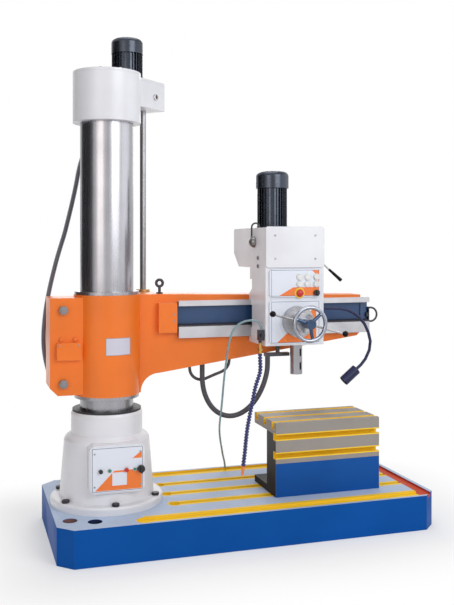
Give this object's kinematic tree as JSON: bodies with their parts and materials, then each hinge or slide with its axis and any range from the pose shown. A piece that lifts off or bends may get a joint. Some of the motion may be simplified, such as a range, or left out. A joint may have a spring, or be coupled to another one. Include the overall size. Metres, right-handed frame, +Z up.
{
  "type": "radial arm drill",
  "caption": "Radial arm drilling machine: slotted base with work table, swivelling column, lifting arm, traversing drill head with quill, handwheel and controls.",
  "frame": {"origin": "on the floor, at the axis of the column", "axes": "+Z up, +X along the base and the arm, -Y towards the operator"},
  "size_m": [2.195, 1.0442, 2.846],
  "materials": {
    "base_paint": "satin blue paint with machined top",
    "white_paint": "satin white paint",
    "orange_paint": "satin orange paint",
    "panel_paint": "white plates with orange and dark lines",
    "ground_steel": "ground and lightly oiled",
    "dark_steel": "blackened",
    "table_iron": "machined faces, blue foot",
    "bearing_steel": "ground",
    "bronze": "machined",
    "brass_fitting": "turned",
    "motor_black": "dark paint",
    "black_plastic": "moulded",
    "white_plastic": "moulded",
    "red_plastic": "moulded",
    "chrome_trim": "polished",
    "seal_rubber": "moulded",
    "lamp_blue": "dark blue paint",
    "conduit_grey": "ribbed",
    "conduit_dark": "smooth",
    "hose_clear": "pale blue tube",
    "hose_blue": "segmented",
    "nozzle_orange": "moulded"
  },
  "bodies": {
    "base": {"base_plate": "base_paint", "pedestal": "white_paint", "pedestal_bolts": "dark_steel", "inner_column": "ground_steel", "column_bearings": "bearing_steel", "column_seal": "seal_rubber", "work_table": "table_iron", "table_bolts": "dark_steel", "switch_box": "white_paint", "switch_plate": "panel_paint"},
    "power_on": {"power_on_button": "black_plastic"},
    "power_off": {"power_off_button": "red_plastic"},
    "main_switch": {"main_switch": "black_plastic"},
    "column": {"outer_column": "ground_steel", "top_cap": "white_paint", "cap_lid": "white_paint", "lift_motor": "motor_black", "lift_cowl": "motor_black", "column_conduit": "conduit_grey"},
    "lift_pinion": {"lift_pinion": "bearing_steel"},
    "lift_screw": {"lead_screw": "ground_steel", "lift_gear": "bearing_steel"},
    "arm": {"arm_casting": "orange_paint", "lift_nut": "bronze", "arm_wipers": "ground_steel", "guideways": "ground_steel", "traverse_rack": "dark_steel", "clamp_bolts": "ground_steel", "junction_box": "orange_paint", "eyebolt": "dark_steel", "end_bow": "ground_steel", "head_conduit": "conduit_dark", "arm_conduit": "conduit_dark"},
    "head": {"head_casting": "white_paint", "front_cover": "white_paint", "head_panels": "panel_paint", "head_motor": "motor_black", "head_cowl": "motor_black", "cable_dome": "chrome_trim", "motor_lead": "black_plastic", "coolant_valve": "brass_fitting", "lamp_neck": "lamp_blue", "lamp_head": "lamp_blue", "supply_hose": "hose_clear", "coolant_hose": "hose_blue", "coolant_nozzle": "nozzle_orange"},
    "arm_up": {"arm_up_button": "white_plastic"},
    "arm_down": {"arm_down_button": "white_plastic"},
    "clamp_on": {"clamp_button": "white_plastic"},
    "clamp_off": {"release_button": "white_plastic"},
    "spindle_on": {"spindle_button": "white_plastic"},
    "jog": {"jog_button": "white_plastic"},
    "stop": {"emergency_stop": "red_plastic"},
    "mode": {"mode_knob": "black_plastic"},
    "quill": {"quill": "ground_steel"},
    "spindle": {"spindle": "ground_steel"},
    "feed": {"feed_hub": "ground_steel", "feed_levers": "ground_steel"},
    "handwheel": {"handwheel": "chrome_trim"},
    "shift": {"speed_lever": "black_plastic"}
  },
  "joints": [
    {"name": "column_swivel", "type": "hinge", "parent": "base", "child": "column", "pos_m": [0, 0, 1.4], "axis": [0, 0, 1], "range_deg": [-180, 180], "deforming": ["supply_hose"]},
    {"name": "arm_lift", "type": "slide", "parent": "column", "child": "arm", "axis": [0, 0, 1], "range_m": [-0.06, 0.54], "deforming": ["column_conduit", "supply_hose"]},
    {"name": "lift_screw_turn", "type": "hinge", "parent": "column", "child": "lift_screw", "pos_m": [0.25614, 0.22662, 1.8], "axis": [0, 0, 1], "continuous": true},
    {"name": "lift_pinion_turn", "type": "hinge", "parent": "column", "child": "lift_pinion", "pos_m": [0.1408, 0.12457, 2.49], "axis": [0, 0, 1], "continuous": true},
    {"name": "head_traverse", "type": "slide", "parent": "arm", "child": "head", "axis": [1, 0, 0], "range_m": [-0.42, 0.4], "deforming": ["head_conduit", "supply_hose"]},
    {"name": "handwheel_turn", "type": "hinge", "parent": "head", "child": "handwheel", "pos_m": [1.021, -0.54, 1.21], "axis": [0, 1, 0], "range_deg": [-900, 860]},
    {"name": "quill_feed", "type": "slide", "parent": "head", "child": "quill", "axis": [0, 0, -1], "range_m": [0, 0.24]},
    {"name": "feed_turn", "type": "hinge", "parent": "head", "child": "feed", "pos_m": [1.021, -0.4, 1.21], "axis": [0, 1, 0], "range_deg": [-1, 770]},
    {"name": "spindle_spin", "type": "hinge", "parent": "quill", "child": "spindle", "pos_m": [1.08, -0.19, 1], "axis": [0, 0, 1], "continuous": true},
    {"name": "shift_lever_swing", "type": "hinge", "parent": "head", "child": "shift", "pos_m": [1.19, -0.201, 1.57584], "axis": [1, 0, 0], "range_deg": [-30, 30]},
    {"name": "arm_up_press", "type": "slide", "parent": "head", "child": "arm_up", "axis": [0, 1, 0], "range_m": [0, 0.004], "stiffness_N_per_m": 600, "springref_m": -0.002},
    {"name": "arm_down_press", "type": "slide", "parent": "head", "child": "arm_down", "axis": [0, 1, 0], "range_m": [0, 0.004], "stiffness_N_per_m": 600, "springref_m": -0.002},
    {"name": "clamp_press", "type": "slide", "parent": "head", "child": "clamp_on", "axis": [0, 1, 0], "range_m": [0, 0.004], "stiffness_N_per_m": 600, "springref_m": -0.002},
    {"name": "release_press", "type": "slide", "parent": "head", "child": "clamp_off", "axis": [0, 1, 0], "range_m": [0, 0.004], "stiffness_N_per_m": 600, "springref_m": -0.002},
    {"name": "spindle_press", "type": "slide", "parent": "head", "child": "spindle_on", "axis": [0, 1, 0], "range_m": [0, 0.004], "stiffness_N_per_m": 600, "springref_m": -0.002},
    {"name": "jog_press", "type": "slide", "parent": "head", "child": "jog", "axis": [0, 1, 0], "range_m": [0, 0.004], "stiffness_N_per_m": 600, "springref_m": -0.002},
    {"name": "stop_press", "type": "slide", "parent": "head", "child": "stop", "axis": [0, 1, 0], "range_m": [0, 0.004], "stiffness_N_per_m": 900, "springref_m": -0.002},
    {"name": "mode_turn", "type": "hinge", "parent": "head", "child": "mode", "pos_m": [1.14009, -0.357, 1.36902], "axis": [0, 1, 0], "range_deg": [-45, 45]},
    {"name": "power_on_press", "type": "slide", "parent": "base", "child": "power_on", "axis": [0, 1, 0], "range_m": [0, 0.004], "stiffness_N_per_m": 600, "springref_m": -0.002},
    {"name": "power_off_press", "type": "slide", "parent": "base", "child": "power_off", "axis": [0, 1, 0], "range_m": [0, 0.004], "stiffness_N_per_m": 600, "springref_m": -0.002},
    {"name": "main_switch_turn", "type": "hinge", "parent": "base", "child": "main_switch", "pos_m": [0.13884, -0.295, 0.4318], "axis": [0, 1, 0], "range_deg": [0, 90]}
  ],
  "couplings": [
    {"joint": "lift_screw_turn", "follows": "arm_lift", "rad_per_m": -523.6},
    {"joint": "lift_pinion_turn", "follows": "arm_lift", "rad_per_m": 414.01},
    {"joint": "handwheel_turn", "follows": "head_traverse", "rad_per_m": 37.037},
    {"joint": "feed_turn", "follows": "quill_feed", "rad_per_m": 55.556}
  ]
}
